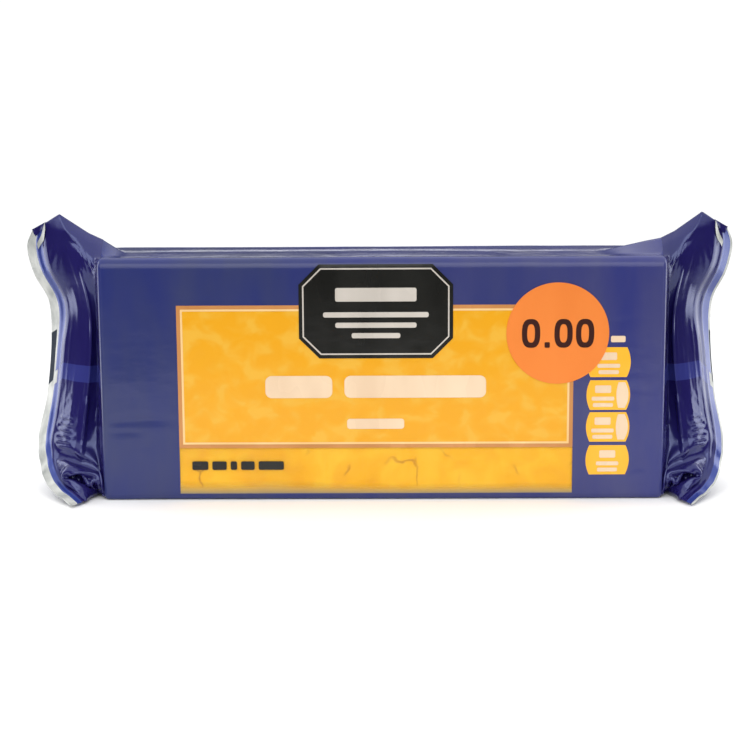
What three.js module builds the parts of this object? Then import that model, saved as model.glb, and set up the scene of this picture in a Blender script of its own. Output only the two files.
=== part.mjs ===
// Block of mild cheddar in a sealed flow-wrap film pack, standing on its long narrow side.
// Millimetres, +Z up. X runs along the block, the front face looks towards -Y, the base is at Z = 0.
// The origin is the middle of the base.

import * as THREE from 'three';
import { mergeVertices } from 'three/addons/utils/BufferGeometryUtils.js';

// Cheese block under its film
const blockLength = 140;
const blockHeight = 61;
const blockDepth = 24.5;
const topEdgeRadius = 2.6;
const baseEdgeRadius = 1.2;
const endEdgeRadius = 1.6;

// Film closure beyond each end of the block. The upper ear's tip is [out, y, z] as below.
const earTip = [10.7, 0, 70.8];
const earTipStation = 0.78;
const earShare = 0.15;
const endHollow = 2.6;
const sideTuck = 0.25;
const flatShare = 0.84;
const sealThickness = 0.8;
const leftReach = 1;
const rightReach = 0.93;

// The ears pull the film up off the block's top, as a ridge that dies out along the block
const topLift = 3.3;
const liftHalfWidth = 6;
const leftLiftLength = 5;
const rightLiftLength = 15;

// Lengthwise seam, folded flat against the back
const seamHeight = 30.8;
const seamHalfWidth = 6;
const seamThickness = 0.6;

// Round price sticker on the front
const stickerDiameter = 25.3;
const stickerThickness = 0.4;
const stickerGap = 0.3;
const stickerX = 43.3;
const stickerZ = 42.2;

// Steps of the meshes
const cornerSteps = 4;
const tallSideSteps = 22;
const narrowSideSteps = 8;
const blockStations = [-35, 0, 35];
const closureSteps = 9;
const stripSteps = 4;
const stickerSteps = 64;

// Each point of a seal line: how far out of the block's end, its Y, its Z.
// The lines run from the upper ear to the lower ear, which the table has pushed forward.
const innerSealLine = [
  [13.8, 0, 68.9],
  [13.3, -1.3, 59.3],
  [9.1, 0.5, 48.3],
  [10.5, 0.6, 37.4],
  [12.4, -0.6, 20.8],
  [13.6, -3, 13.2],
  [11.2, -8, 4.9],
  [4.2, -15.8, 0.8],
];
const outerSealLine = [
  [18, 2.8, 66.6],
  [19.8, 4.2, 62.3],
  [18.4, 4.3, 55.3],
  [15.2, 6, 48],
  [14.9, 6.4, 38.8],
  [16.4, 5, 23.3],
  [18.3, 1, 12.4],
  [15.2, -8.5, 3.7],
  [6.8, -20.2, 0.6],
];

const filmFinish = { color: 0x3b4478, roughness: 0.25, metalness: 0 };
const stickerFinish = { color: 0xf2873a, roughness: 0.5, metalness: 0 };

// A smooth step from 0 at the value a to 1 at the value b.
function smoothStep(a, b, value) {
  const t = THREE.MathUtils.clamp((value - a) / (b - a), 0, 1);
  return t * t * (3 - 2 * t);
}

// Points [y, z] on a quarter of a circle, without its last point.
function cornerPoints(centreY, centreZ, radius, startTurn) {
  const points = [];
  for (let i = 0; i < cornerSteps; i += 1) {
    const angle = startTurn + (Math.PI / 2) * (i / cornerSteps);
    points.push([centreY - radius * Math.sin(angle), centreZ + radius * Math.cos(angle)]);
  }
  return points;
}

// Evenly spaced points [y, z] from one point towards another, without the last one.
function straightPoints([y0, z0], [y1, z1], steps) {
  const points = [];
  for (let i = 0; i < steps; i += 1) {
    points.push([y0 + (y1 - y0) * (i / steps), z0 + (z1 - z0) * (i / steps)]);
  }
  return points;
}

// The block's section as points [y, z], from the middle of the top round by the front,
// the base and the back. The first half and the second half mirror each other.
function blockSection() {
  const frontY = -blockDepth / 2;
  const topY = frontY + topEdgeRadius;
  const baseY = frontY + baseEdgeRadius;
  const highZ = blockHeight - topEdgeRadius;
  const front = [
    ...straightPoints([0, blockHeight], [topY, blockHeight], narrowSideSteps / 2),
    ...cornerPoints(topY, highZ, topEdgeRadius, 0),
    ...straightPoints([frontY, highZ], [frontY, baseEdgeRadius], tallSideSteps),
    ...cornerPoints(baseY, baseEdgeRadius, baseEdgeRadius, Math.PI / 2),
    ...straightPoints([baseY, 0], [0, 0], narrowSideSteps / 2),
    [0, 0],
  ];
  const back = front.slice(1, -1).reverse().map(([y, z]) => [-y, z]);
  return front.concat(back);
}

// How far round each section point lies, as a share of the way from the top to the base.
function sectionShares(section) {
  const half = section.length / 2;
  const along = [0];
  for (let i = 1; i <= half; i += 1) {
    const [y0, z0] = section[i - 1];
    const [y1, z1] = section[i];
    along.push(along[i - 1] + Math.hypot(y1 - y0, z1 - z0));
  }
  const whole = along[half];
  return section.map((point, i) => along[i <= half ? i : section.length - i] / whole);
}

// How far an ear lifts the film over the block's top, at a place inward from that end.
function earLift(y, z, inward, liftLength) {
  if (z < blockHeight - 0.01) {
    return 0;
  }
  const along = Math.max(1 - inward / liftLength, 0);
  const across = Math.max(1 - Math.abs(y) / liftHalfWidth, 0);
  return topLift * along * across;
}

// The film stands proud of the back where the lengthwise seam is folded over.
function seamRelief(y, z) {
  if (y < blockDepth / 2 - 0.01) {
    return 0;
  }
  const fromMiddle = Math.abs(z - seamHeight);
  return seamThickness * (1 - smoothStep(seamHalfWidth - 1, seamHalfWidth + 1.5, fromMiddle));
}

function sealCurve(line, reach) {
  return new THREE.CatmullRomCurve3(line.map(([out, y, z]) => new THREE.Vector3(out * reach, y, z)));
}

// The upper ear's film runs straight up to the ear's tip and straight down to the seal.
function earPoint(start, end, reach, station) {
  const [out, y, z] = earTip;
  const tip = new THREE.Vector3(out * reach, y, z);
  if (station < earTipStation) {
    return start.clone().lerp(tip, station / earTipStation);
  }
  return tip.lerp(end, (station - earTipStation) / (1 - earTipStation));
}

// One end closure: a function that gives the film's point for a section point and a station.
// Stations from 0 to 1 run from the block's end to the inner seal line, and from 1 to 2 across
// the flat sealed strip. X is measured outwards from the block's end.
function makeClosure(section, shares, reach) {
  const inner = sealCurve(innerSealLine, reach);
  const outer = sealCurve(outerSealLine, reach);
  const half = section.length / 2;

  function stripPoint(share, across) {
    return inner.getPointAt(share).lerp(outer.getPointAt(share), across);
  }

  function stripNormal(share) {
    const low = Math.max(share - 0.01, 0);
    const high = Math.min(share + 0.01, 1);
    const along = stripPoint(high, 0.3).sub(stripPoint(low, 0.3));
    const out = stripPoint(share, 1).sub(stripPoint(share, 0));
    return along.cross(out).normalize();
  }

  return function closurePoint(index, station) {
    const share = shares[index];
    const layer = Math.sign(half - index) * Math.sign(index);
    const normal = stripNormal(share).multiplyScalar(layer * sealThickness / 2);
    if (station >= 1) {
      return stripPoint(share, station - 1).add(normal);
    }
    const [y, z] = section[index];
    const start = new THREE.Vector3(0, y, z + earLift(y, z, 0, 1));
    const end = stripPoint(share, 0).add(normal);
    const flat = 1 - smoothStep(flatShare, 1, share);
    const middle = start.clone().lerp(end, 0.5);
    middle.x -= flat * endHollow;
    middle.y *= 1 - sideTuck * flat;
    const side = new THREE.QuadraticBezierCurve3(start, middle, end).getPoint(station);
    const ear = Math.max(1 - share / earShare, 0);
    return side.lerp(earPoint(start, end, reach, station), ear);
  };
}

// The rings of one end closure, from the seal's outer edge to the block's end.
function closureRings(section, side, reach) {
  const closurePoint = makeClosure(section, sectionShares(section), reach);
  const halfLength = blockLength / 2;
  const rings = [];
  for (let i = stripSteps + closureSteps; i > 0; i -= 1) {
    const inStrip = i > closureSteps;
    const station = inStrip ? 1 + (i - closureSteps) / stripSteps : i / closureSteps;
    rings.push(section.map(([y, z], index) => {
      const point = closurePoint(index, station);
      const relief = seamRelief(y, z) * Math.max(1 - station, 0);
      return new THREE.Vector3(side * (halfLength + point.x), point.y + relief, point.z);
    }));
  }
  return rings;
}

// One ring round the block at x.
function blockRing(section, x) {
  const halfLength = blockLength / 2;
  return section.map(([y, z]) => {
    const leftLift = earLift(y, z, halfLength + x, leftLiftLength);
    const rightLift = earLift(y, z, halfLength - x, rightLiftLength);
    return new THREE.Vector3(x, y + seamRelief(y, z), z + leftLift + rightLift);
  });
}

// Rings of points from the left seal's outer edge to the right seal's outer edge.
function packRings(section) {
  const halfLength = blockLength / 2;
  const stations = [
    -halfLength + endEdgeRadius,
    -halfLength + leftLiftLength,
    ...blockStations,
    halfLength - rightLiftLength,
    halfLength - endEdgeRadius,
  ];
  return [
    ...closureRings(section, -1, leftReach),
    ...stations.map((x) => blockRing(section, x)),
    ...closureRings(section, 1, rightReach).reverse(),
  ];
}

// The flat seal's edge is closed by pairing the front layer's points with the back layer's.
function edgeTriangles(first, count, flipped) {
  const half = count / 2;
  const triangles = [];
  for (let i = 0; i < half; i += 1) {
    const a = first + i;
    const b = first + i + 1;
    const c = first + (count - i) % count;
    const d = first + (count - i - 1) % count;
    if (i > 0) {
      triangles.push([a, b, c]);
    }
    if (i < half - 1) {
      triangles.push([b, d, c]);
    }
  }
  return flipped ? triangles.map(([a, b, c]) => [a, c, b]) : triangles;
}

function sealedPackGeometry() {
  const section = blockSection();
  const rings = packRings(section);
  const count = section.length;
  const positions = rings.flat().flatMap((point) => point.toArray());
  const triangles = [];
  for (let j = 0; j < rings.length - 1; j += 1) {
    for (let i = 0; i < count; i += 1) {
      const a = j * count + i;
      const b = j * count + (i + 1) % count;
      const c = a + count;
      const d = b + count;
      triangles.push([a, b, d], [a, d, c]);
    }
  }
  triangles.push(...edgeTriangles(0, count, true));
  triangles.push(...edgeTriangles((rings.length - 1) * count, count, false));
  const geometry = new THREE.BufferGeometry();
  geometry.setAttribute('position', new THREE.Float32BufferAttribute(positions, 3));
  geometry.setIndex(triangles.flat());
  const closed = mergeVertices(geometry, 1e-4);
  closed.computeVertexNormals();
  return closed;
}

function sealedPack() {
  const mesh = new THREE.Mesh(sealedPackGeometry(), new THREE.MeshStandardMaterial(filmFinish));
  mesh.name = 'sealed_pack';
  return mesh;
}

function priceSticker() {
  const disc = new THREE.CylinderGeometry(
    stickerDiameter / 2, stickerDiameter / 2, stickerThickness, stickerSteps,
  );
  const mesh = new THREE.Mesh(disc, new THREE.MeshStandardMaterial(stickerFinish));
  const y = -blockDepth / 2 - stickerGap - stickerThickness / 2;
  mesh.position.set(stickerX, y, stickerZ);
  mesh.name = 'price_sticker';
  return mesh;
}

const group = new THREE.Group();
group.add(sealedPack());
group.add(priceSticker());

export default group;
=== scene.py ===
# Sealed film pack of mild cheddar, standing on its long narrow side on a pale table.
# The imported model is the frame. Lengths are millimetres, and MM turns them into metres.
import math

import bpy
import numpy as np
from mathutils import Matrix, Vector


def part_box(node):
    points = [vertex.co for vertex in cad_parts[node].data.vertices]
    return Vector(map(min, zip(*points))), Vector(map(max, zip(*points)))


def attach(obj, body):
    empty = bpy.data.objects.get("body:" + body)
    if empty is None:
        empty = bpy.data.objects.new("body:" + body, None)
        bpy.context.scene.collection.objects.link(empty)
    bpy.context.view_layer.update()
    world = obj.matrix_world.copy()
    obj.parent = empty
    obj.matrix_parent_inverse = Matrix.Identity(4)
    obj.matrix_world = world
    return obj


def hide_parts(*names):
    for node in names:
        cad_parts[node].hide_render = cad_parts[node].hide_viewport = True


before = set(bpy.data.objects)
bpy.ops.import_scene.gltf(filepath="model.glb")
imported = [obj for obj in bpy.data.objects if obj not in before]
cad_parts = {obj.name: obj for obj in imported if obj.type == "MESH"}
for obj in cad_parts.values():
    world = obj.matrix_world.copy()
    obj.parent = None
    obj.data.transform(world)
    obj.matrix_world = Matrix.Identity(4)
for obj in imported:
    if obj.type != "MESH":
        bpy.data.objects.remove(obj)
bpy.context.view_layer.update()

MM = 0.001

# The block under its film, as in the CAD frame
BLOCK_LENGTH = 140.0
BLOCK_HEIGHT = 61.0
BLOCK_DEPTH = 24.5
EDGE_RADIUS = 2.6
LOW_RADIUS = 1.2
END_RADIUS = 1.2
HALF_LENGTH = BLOCK_LENGTH / 2

# A wave of relief is given as its height, its length and its seed.
# The cheese inside: its gap to the film, the rounding of its ends, its hollows, its pits as (x, z)
CHEESE_GAP = 0.35
CHEESE_ROUND = 1.5
CHEESE_TURNS = [0.5, 1.0, 1.57]
CHEESE_ROWS = 120
HOLLOW_WAVE = (0.12, 14, 21)
PIT_DEPTH = 0.35
PIT_RADIUS = 0.8
PIT_STRETCH = 1.6
PIT_WAVE = (0.35, 1.2)
PIT_SEED = 40
PIT_PLACES = [(-21.5, 7.4), (-13.2, 5), (18.3, 7.2), (-44, 3.4), (-3.2, 3.9), (31, 5.4), (40.5, 9.1),
              (-33.5, 10.4)]

# Steps round half of the film tube: down to the window's lower edge, and from there to the base
STEPS_ABOVE = 103
STEPS_BELOW = 17
HALF_STEPS = STEPS_ABOVE + STEPS_BELOW
TUBE_STEPS = 2 * HALF_STEPS
END_ROWS = 30
STRIP_ROWS = 18
# Each row of a closure is divided into this many in the end
ROW_PARTS = 4
BODY_STEP = 1.4
UV_MARGIN = 0.01
# Turns of the film over the block's end edge, in radians
END_TURNS = [0.2, 0.5, 0.8, 1.0, 1.16]

# End seals: the reach of each closure as a share of the left one's, and the pale unprinted edge
REACH = {"left": 1.0, "right": 0.93}
PALE_WIDTH = {"left": 3.6, "right": 1.1}
STRIP_WIDTH = 8.0
RIB_PITCH = 3.2
RIB_HEIGHT = 0.07
RIB_END = (0.5, 0.62)
SEAL_HALF_THICKNESS = 0.12
EDGE_WAVE = 0.35
EDGE_WAVE_LENGTH = 6.5
EDGE_WAVE_SHARES = (0.66, 0.78, 0.9, 1)

# The window in the film and its printed fields, as places on the front face
WINDOW_LEFT = -50.7
WINDOW_RIGHT = 47.3
WINDOW_TOP = 49.4
WINDOW_BOTTOM = 1.7
PANEL_BOTTOM = 13.4
PANEL_INSET = 0.2
KEYLINE_WIDTH = 0.95
CREAM_WIDTH = 0.5
FRAME_STEPS = 90
SHEET_STEP = 1.4

# Lengthwise seam, folded down flat on the back
SEAM_TOP = 36.8
SEAM_WIDTH = 12.0
SEAM_STAND = 0.28
SEAM_THICKNESS = 0.16
SEAM_RIB = 0.045
SEAM_PITCH = 1.4
SEAM_STEPS = 30
SEAM_LENGTH_STEPS = 420
SEAM_TURNS = [0.3, 0.6, 0.9, 1.16]
SEAM_SLACK = (0.1, 11, 31)
SEAM_WANDER = (0.25, 30, 33)
SEAM_CALM = 6
# Distances from the seam's upper edge between which it rises, and past its lower edge to fall
SEAM_RISE = (-0.2, 1.2)
SEAM_FALL = (-0.3, 0.2)

# The ears pull the film up off the block's top
TOP_LIFT = 3.3
TENT_HALF = 6.0
LIFT_LENGTH = {"left": 5.0, "right": 15.0}

# Relief of the film on the block
BODY_WAVES = [(0.05, 24, 1), (0.025, 9, 2), (0.008, 2.6, 3)]
PULLED_WAVE = (0.045, 2.2, 4)
PULLED_RANGE = (40, 66)
BACK_CREASES = (0.2, 5, 6)
STRIPE_HEIGHT = 0.15
STRIPE_TURN = 0.5
STRIPE_START = 1.2
STRIPE_CALM = 0.7
STRIPE_CALM_RANGE = (-2, 3)
STRIPE_WANDER = (0.8, 40, 5)
# Drawn-in wrinkles on the front, from one (x, z) to another: depth and half-width
GROOVES = [
    ((-69.5, 19.8), (-50, 21.2), 0.3, 1.2),
    ((-69, 17.3), (-58, 17.8), 0.16, 0.8),
    ((-61, 12.5), (-51.5, 18.2), 0.12, 1.0),
    ((66, 46), (54, 44.5), 0.1, 1.2),
    ((67, 9.5), (52, 4.5), 0.14, 1.4),
]

# Seal lines of an end closure, from the top to the base.
# A point is how far out of the block's end, its Y and its Z.
INNER_SEAL = [(13.8, 0, 68.9), (13.3, -1.3, 59.3), (9.1, 0.5, 48.3), (10.5, 0.6, 37.4), (12.4, -0.6, 20.8),
              (13.6, -3, 13.3), (11.2, -8, 5.2), (4.2, -15.8, 0.8)]
OUTER_SEAL = [(18, 2.8, 66.6), (19.8, 4.2, 62.3), (18.4, 4.3, 55.3), (15.2, 6, 48), (14.9, 6.4, 38.8),
              (16.4, 5, 23.3), (18.3, 1, 12.6), (15.2, -8.5, 3.9), (6.8, -20.2, 0.6)]

# Shares of the way down between which the film turns over the block's end edge
TURNED_SHARES = (0.02, 0.075, 0.87, 0.98)

# Shares of the way from the top to the base at which the folds below are given.
# From the block's end the film runs down a valley, up to a crease, and over a ridge to the seal.
FOLD_SHARES = [0, 0.035, 0.1, 0.14, 0.2, 0.27, 0.36, 0.5, 0.62, 0.74, 0.84, 0.92, 1]
FRONT_VALLEY = [(3.5, 0, 66), (2.4, -2.5, 63.7), (1.2, -6.5, 58.6), (1.2, -7, 56.4), (1.6, -4, 53.8),
                (1.8, -2.6, 49.1), (2, -1.8, 41.8), (2.2, -1.8, 30.3), (2.6, -2.8, 20.8), (2.6, -5.4, 11.8),
                (2.2, -10, 7), (2.2, -12.5, 4.6), (1.2, -4, 0.2)]
FRONT_CREASE = [(10.7, 0, 70.8), (8.6, -2.6, 66.8), (5.7, -3.6, 62.9), (6, -5, 61), (4.7, -4.7, 55.1),
                (3.5, -3.6, 49.4), (2.9, -3.5, 42.1), (3.8, -4.1, 30.5), (5.1, -4.9, 21.1), (6, -6.6, 12.2),
                (6.4, -9.8, 7.4), (6, -13, 5.2), (2.5, -8, 0.2)]
FRONT_RIDGE = [(12.2, 0, 69.9), (11.2, -1.6, 67), (10, -2.4, 62.6), (9.8, -2.8, 60.2), (8.5, -2.2, 54.8),
               (6.5, -1.7, 49.1), (6.4, -1.5, 42), (7.6, -2.2, 30.5), (8.8, -3.9, 21.3), (10, -5.9, 12.8),
               (10.4, -8.2, 7.4), (9.5, -11, 5.3), (3.6, -13, 0.5)]
BACK_VALLEY = [(3.5, 0, 66), (2.2, 3, 62.8), (1.2, 7, 59.8), (1.2, 8, 57.8), (1.4, 8.5, 52.8),
               (1.6, 8.5, 47.8), (1.6, 8.5, 41.4), (1.6, 8.5, 30.3), (1.8, 8.5, 20.8), (2, 7.5, 11.3),
               (2, 6, 4.6), (1.8, 2, 0.8), (1.2, -4, 0.2)]
BACK_CREASE = [(10.7, 0, 70.8), (8.4, 2.4, 66.8), (6.2, 3.6, 62.8), (6, 4.6, 60.8), (5, 5.2, 55.2),
               (3.9, 6, 49.4), (3.5, 6, 42), (3.6, 6, 30.5), (3.8, 6, 21.1), (4.6, 5, 10.8),
               (4.8, 3.5, 5.7), (4.6, -1, 2.2), (2.5, -8, 0.2)]
BACK_RIDGE = [(12.2, 0, 69.9), (11.4, 0.8, 67), (10.2, 1.3, 62.6), (9.9, 1.6, 60.2), (8.5, 2.5, 54.8),
              (7, 3.2, 49.1), (7.2, 3.3, 42), (7.9, 3, 30.5), (8.8, 2.4, 21.3), (10.2, 1, 11.8),
              (10.6, -1.5, 7.3), (9, -5, 3.4), (3.6, -13, 0.5)]

# Spare film over each fold: it makes the wrinkles
FRONT_SPARE = [0, 0, 0.2, 0.3, 0.2, 0, 0, 0, 0.1, 0.4, 1, 1.3, 0.3]
BACK_SPARE = [0, 0.1, 0.3, 0.4, 0.6, 0.8, 1, 1, 1, 0.9, 0.6, 0.3, 0]
# How far the film's own width is taken over the folds' width, which wrinkles it lengthwise
FRONT_LOOSE = [0, 0, 0, 0, 0, 0, 0, 0, 0, 0.3, 0.9, 1, 1]
BACK_LOOSE = [0.3, 0.3, 0.4, 0.5, 0.6, 0.6, 0.6, 0.6, 0.6, 0.8, 1, 1, 1]
# How much of the settled shape is kept: the rest stays as folded
FRONT_KEEP = [0.1, 0.15, 0.4, 0.5, 0.25, 0.08, 0.08, 0.12, 0.3, 0.5, 0.85, 1, 1]
BACK_KEEP = [0.1, 0.15, 0.4, 0.6, 0.8, 1, 1, 1, 1, 1, 1, 1, 1]
# How firmly the film is drawn to its folds
FRONT_PULL = [0.02, 0.02, 0.02, 0.02, 0.02, 0.02, 0.02, 0.02, 0.01, 0.006, 0.004, 0.004, 0.004]
BACK_PULL = [0.02, 0.02, 0.01, 0.006, 0.004, 0.004, 0.004, 0.004, 0.004, 0.004, 0.004, 0.004, 0.004]

# Settling of the film
RELAX_STEPS = 500
EASE_REACH = 0.05
EASE_SHARES = (0, 0.2, 0.85, 1)
SLANT_HOLD = 0.7
BEND_HOLD = 0.3
FAR_BEND_HOLD = 0.15
START_NOISE = 0.06
START_SEED = 3
DAMPING = 0.95
TABLE_GAP = 0.05

# Fine upright ridges on the front panel of a closure: place between the crease and the seal,
# height, half-width, and the shares of the way down between which each one runs. The fades are
# the shares over which a ridge comes in and goes out.
RIDGE_FADES = (0.04, 0.06)
PANEL_RIDGES = [
    (0.0, 0.17, 0.36, 0.16, 0.64),
    (0.15, 0.05, 0.42, 0.3, 0.6),
    (0.36, 0.03, 0.42, 0.4, 0.6),
    (0.8, 0.04, 0.42, 0.33, 0.7),
]
# Lower down the crease stands up as a flat-sided fold: its height, its widths towards the seal and
# towards the block, and the shares between which it runs
TENT_HEIGHT = 0.62
TENT_WIDTHS = (1.7, 1.0)
TENT_SHARES = (0.56, 0.82)
LADDER_HEIGHT = 0.16
LADDER_PITCH = 1.7
LADDER_PLACES = (0.3, 0.45, 0.8, 0.95)
LADDER_SHARES = (0.62, 0.66, 0.74, 0.78)
# A pocket in the lower ear: its place as (share of the way out, share down), its lean, its reach,
# its depth, where its wall runs, and its rim's height, place and half-width, in shares of its reach
POCKET_PLACE = (0.55, 0.885)
POCKET_LEAN = 0.1
POCKET_REACH = (0.26, 0.022)
POCKET_DEPTH = 1.6
POCKET_WALL = (0.5, 1)
POCKET_RIM = (0.25, 1.15, 0.2)

# Printed marks on the closures, as shares of the way from the top to the base: the paler band of
# ink, the dark patch on the unprinted edge, and the bare field beside it in the print
BAND_SHARES = (0.469, 0.523)
PATCH_SHARES = (0.335, 0.495)
PATCH_START = 0.22
BARE_SHARES = (0.475, 0.515)
BARE_WIDTH = 1.3
# Where across each seal's printed strip its painted highlight, a lighter blue, begins, as a share of the
# way out
SEAL_HIGHLIGHT_START = {"left": 0.4, "right": 0.58}

# The upper corner of each seal is folded over: outlines as (place across the seal, share down it)
LEAF_OUTLINE = [(0.08, 0), (0.3, 0.04), (0.42, 0.062), (0.37, 0.08), (0.14, 0.056), (0.02, 0.026)]
FLAP_OUTLINE = [(1.02, -0.002), (0.56, 0.036), (0.03, -0.002)]
FOLD_STEPS = 8
LEAF_LIFT = 0.5
FLAP_LIFT = 0.34
FOLD_CURL = 0.35

# Prints stand this far off the film, and prints on prints twice and three times as far
PRINT_LIFT = 0.05
KEYLINE_LIFT = 0.04

# The plaque, and its bars as (z, width, height)
PLAQUE_X = -1.5
PLAQUE_Z = 47.8
PLAQUE_WIDTH = 38.0
PLAQUE_HEIGHT = 23.4
PLAQUE_CUT = 5.0
PLAQUE_INSET = 0.9
PLAQUE_LINE = 0.35
PLAQUE_BARS = [(52.0, 20.0, 3.4), (47.0, 26.0, 1.3), (44.4, 20.0, 1.3), (41.8, 12.0, 1.3)]

# Title bars as (low x, high x, z, height), and the row of weight bars as (low x, high x)
TITLE_ROUNDING = 0.28
TITLE_BARS = [(-29.0, -12.4, 28.9, 5.6), (-9.4, 25.7, 28.9, 5.6), (-8.8, 5.4, 19.5, 2.6)]
WEIGHT_BARS = [(-47.6, -43.6), (-42.6, -39.0), (-38.0, -36.4), (-35.4, -32.0), (-31.0, -24.7)]
WEIGHT_Z = 8.9
WEIGHT_HEIGHT = 2.2

# The column of pills beside the window, and the bars on each as (dz, width, height)
PILL_X = 56.0
PILL_HEIGHT = 7.5
PILL_WIDTH = 10.8
PILL_PLACES = [34.9, 26.6, 18.5, 10.1]
PILL_BULGE = 0.9
PILL_BARS = [(1.5, 4.0, 1.9), (-0.9, 5.6, 1.0), (-2.5, 5.0, 1.0)]
PILL_SHIFT = 1.3
TOP_BAR = (58.2, 40.7, 3.6, 1.6)
CRESCENT_WIDTH = 3.4
CRESCENT_INSET = 0.4
CRESCENT_STEPS = 12

# The sticker and its figures
STICKER_LIFT = 0.2
FIGURE_WIDTH = 4.5
FIGURE_HEIGHT = 7.2
FIGURE_STROKE = 1.3
FIGURE_ROUNDING = 0.75
FIGURE_PLACES = [-6.6, 1.4, 6.7]
POINT_PLACE = -2.6
POINT_SIZE = (1.3, 1.4)

# Inks in linear colour, as a dark and a light tone that the print wanders between
BLUE = ((0.018, 0.026, 0.16), (0.041, 0.05, 0.12))
VIOLET = ((0.03, 0.036, 0.18), (0.062, 0.064, 0.17))
# The closures' blue is the front's ink painted darker: painted shade on the ends, which face away from the
# light
END_SHADED_BLUE = ((0.009, 0.006, 0.07), (0.014, 0.01, 0.095))
# The seal strip's blue is the same ink painted lighter: a painted highlight
SEAL_HIGHLIGHT_BLUE = ((0.022, 0.034, 0.19), (0.036, 0.056, 0.26))
BAND_BLUE = ((0.022, 0.025, 0.15), (0.03, 0.034, 0.19))
NAVY = ((0.003, 0.01, 0.025), (0.008, 0.022, 0.045))
# Unprinted film: its own pale tone, with darker grey upright streaks painted in as shade
BARE_FILM_AND_SHADE = ((0.27, 0.285, 0.275), (0.6, 0.61, 0.58))
CREAM = ((0.8, 0.5, 0.2), (0.88, 0.62, 0.3))
KEYLINE = ((0.48, 0.2, 0.055), (0.6, 0.27, 0.09))
BLACK = ((0.008, 0.008, 0.007), (0.017, 0.017, 0.015))
WHITE = ((0.72, 0.52, 0.34), (0.85, 0.66, 0.46))
SILVER = ((0.5, 0.46, 0.41), (0.66, 0.61, 0.55))
BROWN = ((0.03, 0.007, 0.005), (0.05, 0.013, 0.009))
ORANGE = ((0.78, 0.2, 0.026), (0.84, 0.235, 0.036))
AMBER = ((0.9, 0.425, 0.016), (0.905, 0.45, 0.026), (0.91, 0.5, 0.05))
CLEAR = ((0.68, 0.4, 0.02), (0.8, 0.52, 0.06))
# Painted shade and reflection on the clear film's lower edge, where it turns under the block: darker and
# greyer at the bottom, fading out by the height below
LOW_EDGE_SHADE = ((0.3, 0.25, 0.15), (0.5, 0.37, 0.15), (0.64, 0.4, 0.07))
LOW_EDGE_SHADE_TOP = 5.2
CHEESE = ((0.83, 0.39, 0.003), (0.87, 0.44, 0.005), (0.89, 0.52, 0.02))
# Crack lines on the cheese, painted darker: painted shade in the cracks
CRACK_SHADE = ((0.36, 0.12, 0.006), (0.55, 0.22, 0.012))
CRACK_BEND = 0.004

# Gloss of the film. The closures shine more, with a bluish tint.
FILM_IOR = 1.5
FILM_SPECULAR = 0.35
END_SPECULAR = 0.9
END_TINT = (0.55, 0.64, 1.0)
EVEN = (1, 1, 1)
# Ripples of the surfaces, as features for each metre, strength, and depth in metres
FILM_RIPPLE = (110, 0.35, 0.0006)
FILM_GRAIN = (700, 0.25, 0.00012)
AMBER_RIPPLE = (110, 0.3, 0.0005)
CHEESE_GRAIN = (900, 0.3, 0.0002)

# Floor, in metres
FLOOR_CENTRE = (0, 0.04)
FLOOR_HALF = (0.205, 0.26)
FLOOR_FADE = 0.6

# The room's light by direction. It rises from the sides to the top. The other parts are given as
# their strength and, along axes of the direction, the value where they are gone and the value
# where they are full: lights beside and behind the pack, the horizon behind it, and a strip of
# light on either side in front. X and Z count both ways.
ROOM_WHITE = 1.05
SKY_SIDE = 0.06
SKY_TOP = 1.25
SKY_RISE = (0.22, 0.65)
SKY_PARTS = [
    (3.0, [("X", 0.5, 0.8), ("Y", -0.08, 0.03), ("Y", 0.75, 0.55), ("Z", 0.7, 0.45)]),
    (1.5, [("Y", 0.3, 0.9), ("Z", 0.14, 0.06)]),
    (1.2, [("X", 0.44, 0.5), ("X", 0.62, 0.56), ("Y", -0.1, -0.3), ("Z", 0.6, 0.4)]),
]
SOFTBOX_PLACE = (-0.08, -0.85, 0.6)
SOFTBOX_AIM = (0, 0, 0.03)
SOFTBOX_SIZE = (1.4, 0.8)
SOFTBOX_WATTS = 6.35

# The photograph's camera, in metres and radians
CAMERA_DISTANCE = 0.4818
CAMERA_ELEVATION = math.radians(11.11)
CAMERA_AZIMUTH = math.radians(0.385)
CAMERA_ROLL = math.radians(-0.278)
CAMERA_AIM = (0, 0, 0.0308)
CAMERA_LENS = 91.05
CAMERA_SENSOR = 36
CAMERA_SHIFT = (-0.0101, -0.0071)

# Shape of the film tube

QUARTER = math.pi * EDGE_RADIUS / 2
LOW_QUARTER = math.pi * LOW_RADIUS / 2
FLAT_HALF = BLOCK_DEPTH / 2 - EDGE_RADIUS
LOW_FLAT = BLOCK_DEPTH / 2 - LOW_RADIUS
FRONT_START = FLAT_HALF + QUARTER
FRONT_STOP = FRONT_START + BLOCK_HEIGHT - EDGE_RADIUS - LOW_RADIUS
HALF_TUBE = FRONT_STOP + LOW_QUARTER + LOW_FLAT


def smooth_step(low, high, value):
    t = np.clip((np.asarray(value, float) - low) / (high - low), 0, 1)
    return t * t * (3 - 2 * t)


def between(value, first, full, fading, last):
    """1 from full to fading, and softly down to 0 at first and at last."""
    return smooth_step(first, full, value) * (1 - smooth_step(fading, last, value))


def tube_of_height(z):
    """How far round the front, from the middle of the top, the film reaches the height z."""
    z = np.asarray(z, float)
    turn = np.arcsin(np.clip((LOW_RADIUS - z) / LOW_RADIUS, 0, 1))
    low = FRONT_STOP + LOW_RADIUS * turn
    return np.where(z < LOW_RADIUS, low, FRONT_START + BLOCK_HEIGHT - EDGE_RADIUS - z)


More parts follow.
